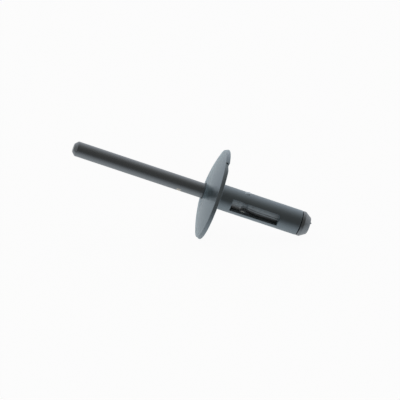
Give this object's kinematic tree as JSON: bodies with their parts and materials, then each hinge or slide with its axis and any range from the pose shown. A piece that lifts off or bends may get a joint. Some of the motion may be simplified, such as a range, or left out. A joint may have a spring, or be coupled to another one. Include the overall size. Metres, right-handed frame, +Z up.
{
  "type": "plastic push rivet",
  "caption": "Plastic push rivet of the pull-stem kind, unset: a wide domed flange on a slotted tubular shank, with a long round stem through it that ends in a bevelled head.",
  "frame": {"origin": "on the surface that the rivet lies on, under the middle of its length and width", "axes": "+Z up; +X from the stem's tip to the tail, level, so that the rivet's own axis falls 20.1 degrees towards +X; the slots face -Y and +Y"},
  "size_m": [0.0598, 0.0236, 0.0253],
  "materials": {
    "sleeve": "semi-gloss moulded nylon, dark blue-grey",
    "stem": "semi-gloss moulded nylon, near black"
  },
  "bodies": {
    "stem": {"stem": "stem"},
    "sleeve": {"sleeve": "sleeve"}
  },
  "joints": [
    {"name": "stem_slide", "type": "slide", "parent": "stem", "child": "sleeve", "axis": [-0.9394, 0, 0.3429], "range_m": [0, 0.033]}
  ]
}
